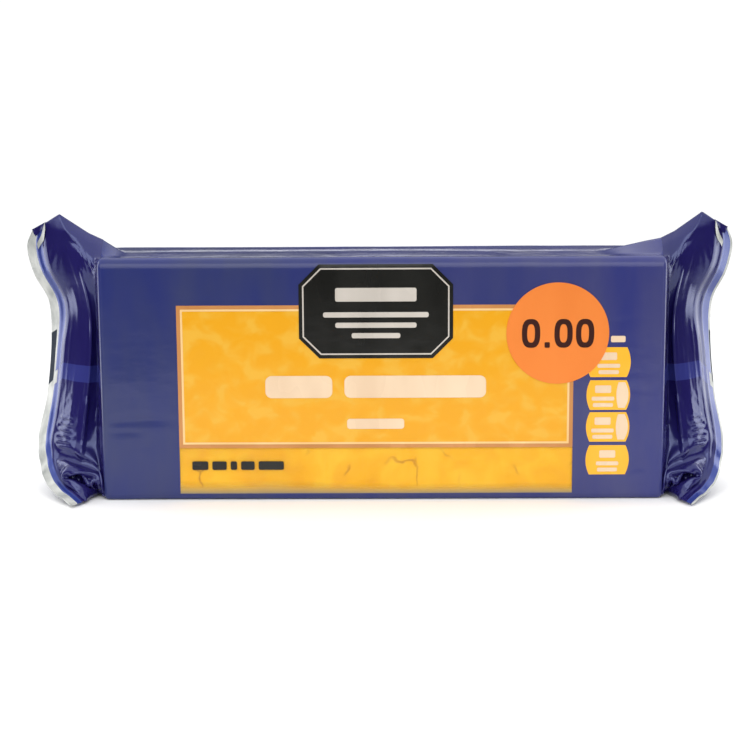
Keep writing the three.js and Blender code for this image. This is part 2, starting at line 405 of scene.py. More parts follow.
def section_point(around):
    """The section's (y, z) and outward normal at distances round the front from the top's middle."""
    s = np.asarray(around, float)
    top_turn = np.clip((s - FLAT_HALF) / EDGE_RADIUS, 0, math.pi / 2)
    low_turn = np.clip((s - FRONT_STOP) / LOW_RADIUS, 0, math.pi / 2)
    turn = top_turn + low_turn
    y = -np.clip(s, 0, FLAT_HALF) - EDGE_RADIUS * np.sin(top_turn)
    y = y + LOW_RADIUS * (1 - np.cos(low_turn)) + np.clip(s - (HALF_TUBE - LOW_FLAT), 0, LOW_FLAT)
    z = BLOCK_HEIGHT - EDGE_RADIUS * (1 - np.cos(top_turn))
    z = z - np.clip(s - FRONT_START, 0, FRONT_STOP - FRONT_START) - LOW_RADIUS * np.sin(low_turn)
    return np.stack([y, z], -1), np.stack([-np.sin(turn), np.cos(turn)], -1)


def tube_columns():
    """Distances round the front half. One column runs exactly along the window's lower edge."""
    low_edge = float(tube_of_height(WINDOW_BOTTOM))
    above = np.linspace(0, low_edge, STEPS_ABOVE + 1)
    below = np.linspace(low_edge, HALF_TUBE, STEPS_BELOW + 1)
    return np.concatenate([above, below[1:]])


def mirrored(front, flips):
    """The whole ring from its front half: the back half has the same points with flipped signs."""
    return np.concatenate([front, (front[1:-1] * flips)[::-1]])


def doubled(ring):
    """A ring's values with their means in between."""
    fine = np.repeat(ring, 2)
    fine[1::2] = (ring + np.roll(ring, -1)) / 2
    return fine


# Each column of the ring: its distance round, its share of the way down, its layer (front 1, back -1)
HALF_COLUMNS = tube_columns()
HALF_SECTION, HALF_NORMAL = section_point(HALF_COLUMNS)
SECTION = mirrored(HALF_SECTION, (-1, 1))
SECTION_NORMAL = mirrored(HALF_NORMAL, (-1, 1))
AROUND = mirrored(HALF_COLUMNS, 1)
SHARE = AROUND / HALF_TUBE
FINE_SHARE = doubled(SHARE)
LAYER = np.concatenate([[0], np.ones(HALF_STEPS - 1), [0], -np.ones(HALF_STEPS - 1)])
COLUMN_GAP = np.concatenate([np.diff(HALF_COLUMNS), np.diff(HALF_COLUMNS)[::-1]])


def lattice_noise(a, b, cell, seed):
    """Smooth noise from -1 to 1 over two coordinates, with features about one cell across."""
    size = 64
    table = np.random.default_rng(seed).uniform(-1, 1, (size, size))
    u = np.asarray(a, float) / cell
    v = np.asarray(b, float) / cell
    iu = np.floor(u).astype(int)
    iv = np.floor(v).astype(int)
    fu = smooth_step(0, 1, u - iu)
    fv = smooth_step(0, 1, v - iv)

    def at(i, j):
        return table[(iu + i) % size, (iv + j) % size]

    low = at(0, 0) * (1 - fu) + at(1, 0) * fu
    high = at(0, 1) * (1 - fu) + at(1, 1) * fu
    return low * (1 - fv) + high * fv


def wave(given, a, b):
    height, length, seed = given
    return height * lattice_noise(a, b, length, seed)


# An end closure: folds, settling film, seal

def curve_through(points, shares):
    """Points of a smooth curve through the given ones, at shares of its length."""
    given = np.array(points, float)
    ends = np.vstack([2 * given[0] - given[1], given, 2 * given[-1] - given[-2]])
    samples = []
    for i in range(len(given) - 1):
        p0, p1, p2, p3 = ends[i:i + 4]
        gaps = [math.sqrt(np.linalg.norm(b - a)) for a, b in ((p0, p1), (p1, p2), (p2, p3))]
        start = ((p1 - p0) / gaps[0] - (p2 - p0) / (gaps[0] + gaps[1]) + (p2 - p1) / gaps[1]) * gaps[1]
        stop = ((p2 - p1) / gaps[1] - (p3 - p1) / (gaps[1] + gaps[2]) + (p3 - p2) / gaps[2]) * gaps[1]
        t = np.linspace(0, 1, 200, endpoint=False)[:, None]
        cubic = 2 * p1 - 2 * p2 + start + stop
        square = -3 * p1 + 3 * p2 - 2 * start - stop
        samples.append(p1 + start * t + square * t ** 2 + cubic * t ** 3)
    line = np.vstack(samples + [given[-1:]])
    along = np.concatenate([[0], np.cumsum(np.linalg.norm(np.diff(line, axis=0), axis=1))])
    where = np.asarray(shares) * along[-1]
    return np.stack([np.interp(where, along, line[:, k]) for k in range(3)], -1)


def seal_frame():
    """The seal's inner and outer line and the strip's normal, for each column."""
    inner = curve_through(INNER_SEAL, SHARE)
    outer = curve_through(OUTER_SEAL, SHARE)
    above = curve_through(INNER_SEAL, np.clip(SHARE - 0.01, 0, 1))
    below = curve_through(INNER_SEAL, np.clip(SHARE + 0.01, 0, 1))
    normal = np.cross(below - above, outer - inner)
    normal /= np.linalg.norm(normal, axis=1)[:, None]
    return inner, outer, normal


def eased(values):
    """Values over FOLD_SHARES at each column, with the turns in the line rounded off."""
    reach = EASE_REACH * between(SHARE, *EASE_SHARES)
    near = [np.interp(SHARE + reach * k, FOLD_SHARES, values) for k in (-1, -0.5, 0, 0.5, 1)]
    return np.mean(near, axis=0)


def by_share(front, back):
    """Values of each column from a list over FOLD_SHARES for the front and one for the back."""
    front = np.array(front, float)
    back = np.array(back, float)
    if front.ndim == 1:
        return np.where(LAYER >= 0, eased(front), eased(back))
    a = np.stack([eased(front[:, k]) for k in range(3)], -1)
    b = np.stack([eased(back[:, k]) for k in range(3)], -1)
    return np.where((LAYER >= 0)[:, None], a, b)


def ear_tent(around):
    """Share of the ear's lift at a distance round from the top's middle: a ridge with flat sides."""
    return np.maximum(1 - np.asarray(around, float) / TENT_HALF, 0)


def turned_share():
    """How fully each column turns in over the block's end edge. The ears leave it straight."""
    return between(SHARE, *TURNED_SHARES)


def folded_closure(inner, normal):
    """The closure's film as folded strips from the block's end over two folds to the seal."""
    inset = 0.6 * END_RADIUS * turned_share()[:, None]
    ring = SECTION - SECTION_NORMAL * inset
    ring[:, 1] += TOP_LIFT * ear_tent(AROUND)
    start = np.column_stack([np.full(len(ring), -0.1 * END_RADIUS), ring])
    end = inner + normal * (LAYER * SEAL_HALF_THICKNESS)[:, None]
    valley = by_share(FRONT_VALLEY, BACK_VALLEY)
    crease = by_share(FRONT_CREASE, BACK_CREASE)
    ridge = by_share(FRONT_RIDGE, BACK_RIDGE)
    stops = np.stack([start, valley, crease, ridge, end])
    along = np.cumsum(np.linalg.norm(np.diff(stops, axis=0), axis=2), axis=0)
    along = np.vstack([np.zeros(len(ring)), along])
    rows = np.zeros((END_ROWS + 1, len(ring), 3))
    for c in range(len(ring)):
        t = np.linspace(0, along[-1, c], END_ROWS + 1)
        for k in range(3):
            rows[:, c, k] = np.interp(t, along[:, c], stops[:, c, k])
    return rows, along


def link_lengths(rows, lengths):
    """Rest lengths of the film's links: down each column, across, and along both diagonals."""
    down = lengths / END_ROWS
    loose = by_share(FRONT_LOOSE, BACK_LOOSE)
    folded = np.linalg.norm(np.roll(rows, -1, axis=1) - rows, axis=2)
    folded = np.clip(folded, 0.75 * COLUMN_GAP, 1.1 * COLUMN_GAP)
    across = folded + (COLUMN_GAP - folded) * np.maximum(loose, np.roll(loose, -1))
    slant = np.sqrt(across[:-1] ** 2 + down ** 2)
    falling = np.linalg.norm(np.roll(rows[1:], -1, axis=1) - rows[:-1], axis=2)
    rising = np.linalg.norm(np.roll(rows[:-1], -1, axis=1) - rows[1:], axis=2)
    return down, across, falling + (slant - falling) * loose, rising + (slant - rising) * loose


def film_links(rows, lengths):
    """Pairs of points that keep their distance: (first, second, rest length, hold).

    They come in sets that share no point, so that a whole set can be moved at once.
    """
    count = rows.shape[1]
    index = np.arange(rows.shape[0] * count).reshape(rows.shape[0], count)
    down, across, falling, rising = link_lengths(rows, lengths)
    free = index[1:-1]
    links = []

    def link(first, second, rest, hold):
        links.append((first.ravel(), second.ravel(), (rest * np.ones(first.shape)).ravel(), hold))

    def link_across(skip, hold):
        for phase in range(2 * skip):
            c = np.arange(phase, count, 2 * skip)
            rest = sum(across[1:-1][:, (c + k) % count] for k in range(skip))
            link(free[:, c], free[:, (c + skip) % count], rest, hold)

    def link_down(skip, hold):
        for phase in range(2 * skip):
            r = np.arange(phase, END_ROWS - skip + 1, 2 * skip)
            link(index[r], index[r + skip], skip * down, hold)

    link_across(1, 1.0)
    link_down(1, 1.0)
    for phase in (0, 1):
        r = np.arange(phase, END_ROWS, 2)
        after = (np.arange(count) + 1) % count
        link(index[r], index[r + 1][:, after], falling[r], SLANT_HOLD)
        link(index[r][:, after], index[r + 1], rising[r], SLANT_HOLD)
    for skip, hold in ((2, BEND_HOLD), (4, FAR_BEND_HOLD)):
        link_across(skip, hold)
        link_down(skip, hold)
    return links


def weighted_links(rows, lengths, free):
    """The film's links with the share of each correction that either end takes."""
    ready = []
    for first, second, length, hold in film_links(rows, lengths):
        both = (free[first] + free[second])[:, 0]
        used = both > 0
        first, second, length = first[used], second[used], length[used]
        pull = hold / both[used][:, None]
        ready.append((first, second, length, pull * free[first], pull * free[second]))
    return ready


def kept_outside(points, loose):
    """Moves loose points off the table and out of the block."""
    points[loose & (points[:, 2] < TABLE_GAP), 2] = TABLE_GAP
    within = (points[:, 0] < TABLE_GAP) & (points[:, 2] < BLOCK_HEIGHT)
    within &= np.abs(points[:, 1]) < BLOCK_DEPTH / 2
    points[loose & within, 0] = TABLE_GAP


def relax_film(rows, lengths):
    """Lets the film settle: it keeps its lengths, so spare film turns into creases."""
    shape = rows.shape
    held = np.zeros(shape[:2], bool)
    held[0] = held[-1] = True
    held[:, 0] = True
    free = (~held).ravel().astype(float)[:, None]
    rest = rows.reshape(-1, 3)
    points = rest + np.random.default_rng(START_SEED).normal(0, START_NOISE, rest.shape) * free
    drawn = (np.ones(shape[0])[:, None] * by_share(FRONT_PULL, BACK_PULL)).reshape(-1, 1)
    links = weighted_links(rows, lengths, free)
    before = points.copy()
    for _ in range(RELAX_STEPS):
        drift = (points - before) * DAMPING
        before = points.copy()
        points = points + (drift + (rest - points) * drawn) * free
        for first, second, length, pull_first, pull_second in links:
            gap = points[second] - points[first]
            size = np.sqrt((gap * gap).sum(1))
            move = ((size - length) / np.maximum(size, 1e-6))[:, None] * gap
            points[first] += pull_first * move
            points[second] -= pull_second * move
        kept_outside(points, free[:, 0] > 0)
    keep = by_share(FRONT_KEEP, BACK_KEEP)[None, :, None]
    return rows + (points.reshape(shape) - rows) * keep


def strip_rows(inner, outer, normal):
    """The flat double strip of the seal with its lengthwise ribs, from its inner to its outer line."""
    rows = []
    waves = EDGE_WAVE * np.sin(AROUND * 2 * math.pi / EDGE_WAVE_LENGTH) * between(SHARE, *EDGE_WAVE_SHARES)
    for i in range(1, STRIP_ROWS + 1):
        across = i / STRIP_ROWS
        rib = RIB_HEIGHT * math.sin(2 * math.pi * across * STRIP_WIDTH / RIB_PITCH)
        rib *= 1 - float(smooth_step(*RIB_END, across))
        offset = LAYER * SEAL_HALF_THICKNESS + rib + waves * across * (1 - 0.3 * across)
        rows.append(inner + (outer - inner) * across + normal * offset[:, None])
    return np.array(rows)


def finer(rows, closed=False):
    """Twice as many rows, on smooth curves through the old ones. Closed ones run round in a ring."""
    if closed:
        padded = np.concatenate([rows[-1:], rows, rows[:2]])
    else:
        padded = np.concatenate([2 * rows[:1] - rows[1:2], rows, 2 * rows[-1:] - rows[-2:-1]])
    added = (9 * (padded[1:-2] + padded[2:-1]) - padded[:-3] - padded[3:]) / 16
    fine = np.stack([padded[1:-2], added], 1).reshape(-1, *rows.shape[1:])
    return fine if closed else np.concatenate([fine, rows[-1:]])


def grid_normals(rows):
    """Unit normals of a grid whose columns close into a ring."""
    down = np.gradient(rows, axis=0)
    across = np.roll(rows, -1, 1) - np.roll(rows, 1, 1)
    normal = np.cross(across, down)
    return normal / np.maximum(np.linalg.norm(normal, axis=2), 1e-9)[..., None]


def run_between(share, first, last):
    """1 between two shares of the way down, fading out within a short way of either."""
    return between(share, first, first + RIDGE_FADES[0], last - RIDGE_FADES[1], last)


def panel_relief(panel, length):
    """Fine ridges, the standing crease and the ladder of small wrinkles beside the seal."""
    share = FINE_SHARE
    away = panel * length
    relief = np.zeros(panel.shape)
    for place, height, half_width, first, last in PANEL_RIDGES:
        off = away - place * length
        relief += height * run_between(share, first, last) * np.exp(-(off / half_width) ** 2)
    tent = np.clip(1 - np.where(away > 0, away / TENT_WIDTHS[0], -away / TENT_WIDTHS[1]), 0, 1)
    relief += TENT_HEIGHT * tent * run_between(share, *TENT_SHARES)
    ladder = between(panel, *LADDER_PLACES) * between(share, *LADDER_SHARES)
    turn = share * HALF_TUBE * 2 * math.pi / LADDER_PITCH + 3 * panel
    return relief + LADDER_HEIGHT * ladder * np.sin(turn)


def pocket_relief(t):
    """A hollow with a raised rim in the lower ear, where the film folds back on itself."""
    out = t - POCKET_PLACE[0]
    down = FINE_SHARE - POCKET_PLACE[1] - POCKET_LEAN * out
    away = np.hypot(out / POCKET_REACH[0], down / POCKET_REACH[1])
    height, place_of_rim, half_width = POCKET_RIM
    rim = height * np.exp(-((away - place_of_rim) / half_width) ** 2)
    return rim - POCKET_DEPTH * (1 - smooth_step(*POCKET_WALL, away))


def seam_on_closure(t):
    """The lengthwise seam's relief where it runs on over the closure's back layer."""
    drop = FINE_SHARE * HALF_TUBE - tube_of_height(SEAM_TOP)
    seam = smooth_step(*SEAM_RISE, drop) * (1 - smooth_step(*SEAM_FALL, drop - SEAM_WIDTH))
    return seam * SEAM_STAND * smooth_step(0, 0.03, t)


def with_relief(rows, along):
    """A closure's fine rows with the small relief that the settling is too coarse for."""
    layer = np.repeat(LAYER, 2)
    crease = np.repeat(along[2] / along[-1], 2)
    length = (1 - crease) * np.repeat(along[-1], 2)
    t = np.arange(rows.shape[0])[:, None] / (ROW_PARTS * END_ROWS)
    panel = (t - crease) / (1 - crease)
    relief = (panel_relief(panel, length) + pocket_relief(t)) * (layer > 0) * (t < 1)
    relief = relief + seam_on_closure(t) * (layer < 0)
    return rows + grid_normals(rows) * relief[..., None]


def closure_rows():
    """Rows of one end closure from the block's end to the seal's outer line, finely divided."""
    inner, outer, normal = seal_frame()
    rows, along = folded_closure(inner, normal)
    relaxed = relax_film(rows, along[-1] + by_share(FRONT_SPARE, BACK_SPARE))
    rough = np.concatenate([relaxed, strip_rows(inner, outer, normal)])
    wide = finer(rough.swapaxes(0, 1), closed=True).swapaxes(0, 1)
    return with_relief(finer(finer(wide)), along)


# Relief of the film on the block

def groove_depth(x, z, start, stop, depth, half_width):
    """A soft groove along a line, fading out towards its ends."""
    line = np.array(stop) - np.array(start)
    length = np.hypot(*line)
    along = ((x - start[0]) * line[0] + (z - start[1]) * line[1]) / length
    away = ((x - start[0]) * line[1] - (z - start[1]) * line[0]) / length
    fade = between(along, 0, 0.15 * length, 0.5 * length, length)
    return depth * fade * np.exp(-(away / half_width) ** 2)


def body_relief(x, around, layer):
    """How far the film stands off its plain section on the block, along the outward normal."""
    x = np.asarray(x, float)
    s = np.asarray(around, float)
    layer = np.asarray(layer)
    side = np.where(layer >= 0, s, -s)
    calm = 1 - smooth_step(HALF_LENGTH - 4, HALF_LENGTH - 1, np.abs(x))
    calm = calm * (1 - smooth_step(HALF_TUBE - 6, HALF_TUBE - 1, s))
    front = between(s, FRONT_START, FRONT_START + 3, FRONT_STOP - 4, FRONT_STOP)
    top = 1 - smooth_step(FLAT_HALF, FLAT_HALF + 3, s)
    relief = sum(wave(given, x, side) for given in BODY_WAVES)
    relief = relief + front * smooth_step(*PULLED_RANGE, np.abs(x)) * wave(PULLED_WAVE, x / 8, side)
    relief = relief + front * (layer < 0) * wave(BACK_CREASES, x / 3, side)
    stripes = STRIPE_HEIGHT * top * (1 - STRIPE_CALM * smooth_step(*STRIPE_CALM_RANGE, side))
    phase = STRIPE_START + wave(STRIPE_WANDER, x, side * 0)
    relief = relief + stripes * np.sin(side * STRIPE_TURN + phase)
    z = BLOCK_HEIGHT - EDGE_RADIUS - (s - FRONT_START)
    for start, stop, depth, half_width in GROOVES:
        relief = relief - groove_depth(x, z, start, stop, depth, half_width) * (layer > 0)
    return calm * relief


def body_row(x, inward=0.0):
    """The film's points on the block at x, with the lift of the top towards each ear."""
    raised = np.zeros(TUBE_STEPS)
    for name, sign in (("left", -1), ("right", 1)):
        to_end = HALF_LENGTH - sign * x
        raised += TOP_LIFT * np.maximum(1 - to_end / LIFT_LENGTH[name], 0) * ear_tent(AROUND)
    off = body_relief(x, AROUND, LAYER) - inward
    points = SECTION + SECTION_NORMAL * off[:, None] + np.column_stack([np.zeros(TUBE_STEPS), raised])
    return np.column_stack([np.full(TUBE_STEPS, x), points])


def body_stations():
    """X of the film's rows on the block, with rows exactly along the window's upright edges."""
    limit = HALF_LENGTH - END_RADIUS
    stops = [-limit, WINDOW_LEFT, WINDOW_RIGHT, limit]
    rows = []
    for a, b in zip(stops, stops[1:]):
        rows.extend(np.linspace(a, b, round((b - a) / BODY_STEP), endpoint=False))
    return np.array(rows + [limit])


def film_body_rows():
    """All rows on the block, with the turn over each end edge."""
    turned = []
    for turn in END_TURNS:
        x = HALF_LENGTH - END_RADIUS * (1 - math.sin(turn))
        turned.append((x, turned_share() * END_RADIUS * (1 - math.cos(turn))))
    rows = [body_row(-x, inward) for x, inward in reversed(turned)]
    rows += [body_row(x) for x in body_stations()]
    rows += [body_row(x, inward) for x, inward in turned]
    return np.array(rows)


def edge_turn(x):
    """How far the film has turned in over the block's end edge at x."""
    past = np.clip(np.abs(x) - (HALF_LENGTH - END_RADIUS), 0, END_RADIUS)
    return END_RADIUS - np.sqrt(END_RADIUS ** 2 - past ** 2)


def film_surface(x, z, offset, layer=1):
    """Points standing a little off the front film at x and z, or with layer -1 off the back film."""
    x = np.asarray(x, float)
    around = tube_of_height(z)
    section, normal = section_point(around)
    off = body_relief(x, around, np.full(x.shape, layer)) - edge_turn(x) + offset
    points = (section + normal * off[..., None]) * (layer, 1)
    return np.concatenate([x[..., None], points], -1)


def seal_surface(side):
    """A function that gives points on the front of a seal: across it, share of the way down, lift."""
    sign = -1 if side == "left" else 1

    def surface(across, share, lift):
        across = np.asarray(across, float)
        share = np.asarray(share, float)
        down = np.clip(share, 0, 1)
        inner = curve_through(INNER_SEAL, down)
        out = curve_through(OUTER_SEAL, down) - inner
        normal = np.cross(curve_through(INNER_SEAL, down + 0.02) - inner, out)
        normal = normal / np.linalg.norm(normal, axis=-1)[..., None]
        curl = FOLD_CURL * np.sin(9 * across + 60 * share) * smooth_step(0, 0.03, share)
        place = inner + out * across[..., None] + normal * (lift + curl * lift)[..., None]
        return place * (sign * REACH[side], 1, 1) + (sign * HALF_LENGTH, 0, 0)

    return surface


# Materials

def node_material(name):
    """A new node material: itself, its node tree and its main shader."""
    made = bpy.data.materials.new(name)
    made.use_nodes = True
    return made, made.node_tree, made.node_tree.nodes["Principled BSDF"]


def feed(tree, node, values):
    """Sets a node's inputs, by name, from other nodes' outputs or to plain values."""
    for name, value in values.items():
        if isinstance(value, bpy.types.NodeSocket):
            tree.links.new(value, node.inputs[name])
        else:
            node.inputs[name].default_value = value
    return node


def new_node(tree, kind, values, **settings):
    """A node of a kind with its settings, fed with values."""
    node = tree.nodes.new("ShaderNode" + kind)
    for name, value in settings.items():
        setattr(node, name, value)
    return feed(tree, node, values)


def place(tree, axis=None):
    """The object's own place, or one coordinate of it, in metres."""
    where = new_node(tree, "TexCoord", {}).outputs["Object"]
    return new_node(tree, "SeparateXYZ", {"Vector": where}).outputs[axis] if axis else where


def place_noise(tree, scale, detail=3.0, stretch=EVEN, distortion=0.0):
    """Noise fixed to the object's own place, in features of about 1/scale metres."""
    where = new_node(tree, "Mapping", {"Vector": place(tree), "Scale": stretch}).outputs["Vector"]
    values = {"Vector": where, "Scale": scale, "Detail": detail, "Distortion": distortion}
    return new_node(tree, "TexNoise", values).outputs["Fac"]


def ramp(tree, fac, start, stop, colours):
    """A colour ramp over evenly spaced linear colours from start to stop."""
    made = new_node(tree, "ValToRGB", {"Fac": fac})
    elements = made.color_ramp.elements
    elements[0].position = start
    elements[1].position = stop
    for k in range(1, len(colours) - 1):
        elements.new(start + (stop - start) * k / (len(colours) - 1))
    for element, colour in zip(elements, colours):
        element.color = (*colour, 1)
    return made.outputs["Color"]


def spread(tree, fac, bottom, top, start=0.3, end=0.7, soft=False):
    """Maps values between start and end to values between bottom and top."""
    values = {"Value": fac, "From Min": start, "From Max": end, "To Min": bottom, "To Max": top}
    change = "SMOOTHSTEP" if soft else "LINEAR"
    return new_node(tree, "MapRange", values, interpolation_type=change).outputs["Result"]


def worked(tree, operation, first, second=0.0):
    return new_node(tree, "Math", {0: first, 1: second}, operation=operation).outputs["Value"]


def mixed(tree, fac, first, second):
    """The second colour over the first by a varying share."""
    values = {"Factor": fac, "A": first, "B": second}
    return new_node(tree, "Mix", values, data_type="RGBA").outputs["Result"]


def bump(tree, height, strength, depth, normal=None):
    made = new_node(tree, "Bump", {"Height": height, "Strength": strength, "Distance": depth})
    if normal:
        feed(tree, made, {"Normal": normal})
    return made.outputs["Normal"]


def rippled(tree, ripple, detail=2.0, stretch=EVEN, normal=None):
    """The normal of a surface with a ripple, over another one's normal if that is given."""
    scale, strength, depth = ripple
    return bump(tree, place_noise(tree, scale, detail, stretch), strength, depth, normal)


def film_material(name, tones, rough, gloss=FILM_SPECULAR, tint=EVEN, mottle=75, upright=0.3):
    """Glossy film with solid ink: the ink is slightly uneven, and the film has fine ripples."""
    made, tree, shader = node_material(name)
    ink = place_noise(tree, mottle, 3.0, (1, 1, upright))
    smear = place_noise(tree, 90, 2.0, (1, 1, 0.4))
    fine = rippled(tree, FILM_GRAIN, stretch=(0.35, 1, 1))
    feed(tree, shader, {
        "Base Color": ramp(tree, ink, 0.3, 0.7, tones),
        "Roughness": spread(tree, smear, rough, rough + 0.1),
        "Normal": rippled(tree, FILM_RIPPLE, normal=fine),
        "IOR": FILM_IOR,
        "Specular IOR Level": gloss,
        "Specular Tint": (*tint, 1),
    })
    return made


def blue_film_material():
    """The pack's blue film, whose ink grows a little lighter and more violet to the right."""
    made = film_material("blue_ink", BLUE, 0.16, mottle=60)
    tree = made.node_tree
    shader = tree.nodes["Principled BSDF"]
    blue = shader.inputs["Base Color"].links[0].from_socket
    violet = ramp(tree, place_noise(tree, 90, 3.0, (1, 1, 0.3)), 0.3, 0.7, VIOLET)
    right = spread(tree, place(tree, "X"), 0, 1, -30 * MM, 75 * MM)
    feed(tree, shader, {"Base Color": mixed(tree, right, blue, violet)})
    return made


def amber_film_material():
    """Translucent warm yellow ink on clear film: the cheese mottles it from behind."""
    made, tree, shader = node_material("amber_ink")
    patches = place_noise(tree, 170, 2.0, (1, 1, 1.2), 0.4)
    feed(tree, shader, {
        "Base Color": ramp(tree, patches, 0.42, 0.62, AMBER),
        "Roughness": spread(tree, patches, 0.16, 0.26),
        "Normal": rippled(tree, AMBER_RIPPLE),
        "Alpha": 0.82,
        "IOR": FILM_IOR,
        "Specular IOR Level": FILM_SPECULAR,
    })
    return made


def clear_film_material():
    """Clear film, painted darker, greyer and less see-through along its lower edge where it turns under the
    block: painted shade and reflection.
    """
    made, tree, shader = node_material("clear_film_ink")
    shade = place_noise(tree, 140, 2.0)
    height = spread(tree, place(tree, "Z"), 0, 1, WINDOW_BOTTOM * MM, LOW_EDGE_SHADE_TOP * MM)
    # Share of plain clear film: 0 at the bottom where the painted shade and reflection are full, 1 above
    # them, with some noise
    uneven = worked(tree, "MULTIPLY", height, spread(tree, place_noise(tree, 25, 2.0), 0.8, 1.5))
    clear = ramp(tree, shade, 0.3, 0.7, CLEAR)
    feed(tree, shader, {
        "Base Color": mixed(tree, uneven, ramp(tree, uneven, 0, 0.7, LOW_EDGE_SHADE), clear),
        "Alpha": spread(tree, uneven, 0.85, 0.12, 0, 1),
        "Roughness": spread(tree, shade, 0.08, 0.16),
        "Normal": bump(tree, shade, 0.3, 0.0005),
        "IOR": FILM_IOR,
    })
    return made


def shaded_cracks(tree):
    """Thin lines between curds, only here and there, painted darker: painted shade in the cracks."""
    bent = new_node(tree, "TexNoise", {"Vector": place(tree), "Scale": 220}).outputs["Color"]
    values = {0: bent, 1: (CRACK_BEND, CRACK_BEND, CRACK_BEND), 2: place(tree)}
    shifted = new_node(tree, "VectorMath", values, operation="MULTIPLY_ADD").outputs["Vector"]
    values = {"Vector": shifted, "Scale": 75}
    cells = new_node(tree, "TexVoronoi", values, feature="DISTANCE_TO_EDGE")
    line = spread(tree, cells.outputs["Distance"], 1, 0, 0.006, 0.03)
    return worked(tree, "MULTIPLY", line, spread(tree, place_noise(tree, 95, 1.0), 0, 0.75, 0.57, 0.66))


def cheese_material():
    made, tree, shader = node_material("cheddar")
    curd = place_noise(tree, 120, 5.0, distortion=1.2)
    colour = ramp(tree, curd, 0.32, 0.66, CHEESE)
    feed(tree, shader, {
        "Base Color": mixed(tree, shaded_cracks(tree), colour, ramp(tree, curd, 0.3, 0.7, CRACK_SHADE)),
        "Roughness": spread(tree, curd, 0.38, 0.55),
        "Normal": rippled(tree, CHEESE_GRAIN, 3.0),
    })
    return made


blue_ink = blue_film_material()
# Closure ink with painted shade: darker than the front's blue
end_shaded_ink = film_material("end_blue_ink_shaded", END_SHADED_BLUE, 0.12, END_SPECULAR, END_TINT)
# The seal strip's lighter blue: a painted highlight on the closures' ink
seal_highlight_ink = film_material("end_seal_highlight_ink", SEAL_HIGHLIGHT_BLUE, 0.16, END_SPECULAR, END_TINT)
band_ink = film_material("end_band_ink", BAND_BLUE, 0.12, END_SPECULAR, END_TINT)
# Pale unprinted film with upright streaks of painted shade
bare_film_and_shade = film_material("unprinted_film_ink", BARE_FILM_AND_SHADE, 0.24, mottle=260, upright=0.6)
cream_ink = film_material("cream_ink", CREAM, 0.2)
keyline_ink = film_material("keyline_ink", KEYLINE, 0.2)
black_ink = film_material("black_ink", BLACK, 0.18)
navy_ink = film_material("navy_ink", NAVY, 0.4, 0.08)
white_ink = film_material("white_ink", WHITE, 0.22)
silver_ink = film_material("silver_ink", SILVER, 0.22)
label_ink = film_material("orange_label", ORANGE, 0.42)
brown_ink = film_material("brown_ink", BROWN, 0.5, 0.15)
amber_solid = film_material("amber_solid_ink", (AMBER[0], AMBER[-1]), 0.2)
amber_ink = amber_film_material()
clear_ink = clear_film_material()
cheddar = cheese_material()


# Making pieces

def piece(name, points, faces, material, slot):
    """A smooth mesh piece of the pack, given in millimetres. It rides with the pack's one body."""
    mesh = bpy.data.meshes.new(name)
    mesh.from_pydata((np.asarray(points).reshape(-1, 3) * MM).tolist(), [], faces)
    mesh.polygons.foreach_set("use_smooth", [True] * len(mesh.polygons))
    mesh.materials.append(material)
    mesh.update()
    made = bpy.data.objects.new(name, mesh)
    bpy.context.scene.collection.objects.link(made)
    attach(made, "root")
    return made


def tube_faces(rows, columns, skip=None):
    """Quads of a grid whose columns close into a ring. skip(row, column) leaves one out."""
    faces = []
    for j in range(rows - 1):
        for i in range(columns):
            if skip and skip(j, i):
                continue
            a = j * columns + i
            b = j * columns + (i + 1) % columns
            faces.append((a, b, b + columns, a + columns))
    return faces


def sheet_faces(rows, columns):
    """Quads of an open grid."""
    return [face for face in tube_faces(rows, columns) if (face[0] + 1) % columns]


def flipped(faces, wanted=True):
    """Faces that look the other way."""
    return [face[::-1] for face in faces] if wanted else faces


def add_sheet_uv(made, rows, columns, closed):
    """An unfolded layout of a grid piece: columns run across it and rows run up."""
    layer = made.data.uv_layers.new(name="OFBake")
    wide = columns if closed else columns - 1
    for polygon in made.data.polygons:
        across = [vertex % columns for vertex in polygon.vertices]
        wraps = closed and max(across) - min(across) > 1
        for loop, vertex, column in zip(polygon.loop_indices, polygon.vertices, across):
            if wraps and column == 0:
                column = columns
            place_in = (column / wide, vertex // columns / (rows - 1))
            layer.data[loop].uv = [UV_MARGIN + (1 - 2 * UV_MARGIN) * share for share in place_in]


def add_second(made, material, chosen):
    """Gives a piece a further material on the faces that are chosen."""
    made.data.materials.append(material)
    last = len(made.data.materials) - 1
    for polygon in made.data.polygons:
        if chosen(polygon.index):
            polygon.material_index = last


def within(column, limits):
    """Whether a column of a closure lies on its front layer between two shares of the way down."""
    return column < TUBE_STEPS and limits[0] <= FINE_SHARE[column] <= limits[1]


# Film pieces

end_grid = closure_rows()


def film_end(side):
    """The printed closure with its seal, and the pale edge that the print leaves free."""
    sign = -1 if side == "left" else 1
    rows = end_grid * (sign * REACH[side], 1, 1) + (sign * HALF_LENGTH, 0, 0)
    count = rows.shape[1]
    inner = ROW_PARTS * END_ROWS
    stop = inner + ROW_PARTS * round(STRIP_ROWS * (1 - PALE_WIDTH[side] / STRIP_WIDTH))
    highlight_start = inner + round(SEAL_HIGHLIGHT_START[side] * (stop - inner))
    bare_start = stop - round(ROW_PARTS * STRIP_ROWS * BARE_WIDTH / STRIP_WIDTH)
    faces = flipped(tube_faces(stop + 1, count), side == "left")
    made = piece(f"film_end_{side}", rows[:stop + 1], faces, end_shaded_ink, "printed_film")
    add_sheet_uv(made, stop + 1, count, True)
    # Rows of the seal strip take the lighter blue of the painted highlight
    add_second(made, seal_highlight_ink, lambda k: k // count >= highlight_start)
    add_second(made, band_ink, lambda k: within(k % count, BAND_SHARES))
    add_second(made, bare_film_and_shade, lambda k: k // count >= bare_start and within(k % count, BARE_SHARES))
    edge_piece(side, rows[stop:])


